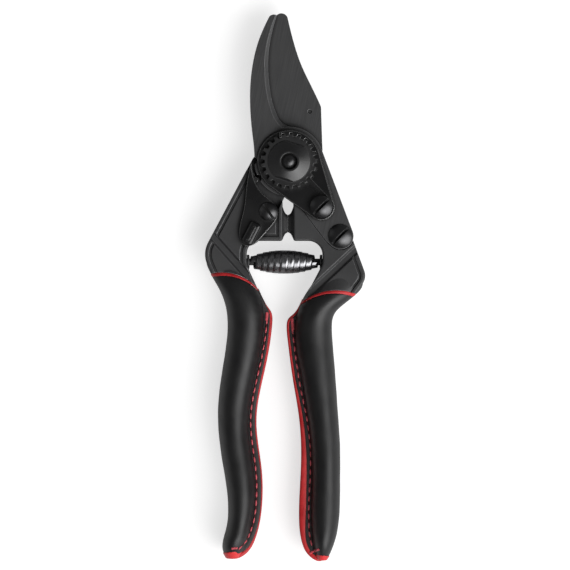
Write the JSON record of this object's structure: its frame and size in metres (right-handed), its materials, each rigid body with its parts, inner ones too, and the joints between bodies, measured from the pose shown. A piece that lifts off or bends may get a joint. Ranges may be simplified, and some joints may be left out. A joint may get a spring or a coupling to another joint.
{
  "type": "pruning shears",
  "caption": "Bypass pruning shears with hooked counter blade, toothed pivot nut, thumb catch, volute return spring and sewn leather grips.",
  "frame": {"origin": "on the pivot axis, at the flat underside of the bolt head, which is the plane the closed shears lie on", "axes": "+Y along the closed jaws towards their tips, +Z along the pivot axis from the bolt head to the nut, +X towards the handle that carries the hook blade"},
  "size_m": [0.057, 0.1943, 0.0179],
  "materials": {
    "forged_black": "black satin coating on forged metal",
    "blade_coating": "dark grey low-friction coating on blade steel",
    "blackened_steel": "black oxide",
    "bright_steel": "bare spring steel",
    "plated_screw": "dark plated steel",
    "bronze": "turned bronze",
    "black_leather": "fine-grained black leather",
    "red_leather": "red lining leather",
    "red_thread": "waxed red thread",
    "black_rubber": "moulded rubber"
  },
  "bodies": {
    "left_shear": {"left_handle": "forged_black", "cutting_blade": "blade_coating", "blade_screws": "plated_screw", "pivot_bush": "bronze", "catch_screw": "plated_screw", "catch_ball": "bright_steel", "catch_ball_spring": "bright_steel", "left_grip": "black_leather", "left_grip_lining": "red_leather", "left_stitching": "red_thread", "left_bumper": "black_rubber", "left_spring_seat": "forged_black", "return_spring": "bright_steel"},
    "right_shear": {"right_handle": "forged_black", "hook_blade": "blade_coating", "pivot_plate": "blackened_steel", "lock_segment": "blackened_steel", "centre_nut": "blackened_steel", "centre_bolt": "plated_screw", "segment_screw": "plated_screw", "tang_screw": "plated_screw", "right_grip": "black_leather", "right_grip_lining": "red_leather", "right_stitching": "red_thread", "right_bumper": "black_rubber", "right_spring_seat": "forged_black"},
    "catch": {"thumb_catch": "blackened_steel"}
  },
  "joints": [
    {"name": "handle_pivot", "type": "hinge", "parent": "left_shear", "child": "right_shear", "pos_m": [0, 0, 0], "axis": [0, 0, 1], "range_deg": [0, 30], "stiffness_Nm_per_rad": 2.5, "springref_deg": 45.84, "deforming": ["return_spring"]},
    {"name": "catch_pivot", "type": "hinge", "parent": "left_shear", "child": "catch", "pos_m": [-0.0073, -0.0179, 0.0137], "axis": [0, 0, 1], "range_deg": [-5, 0]}
  ]
}
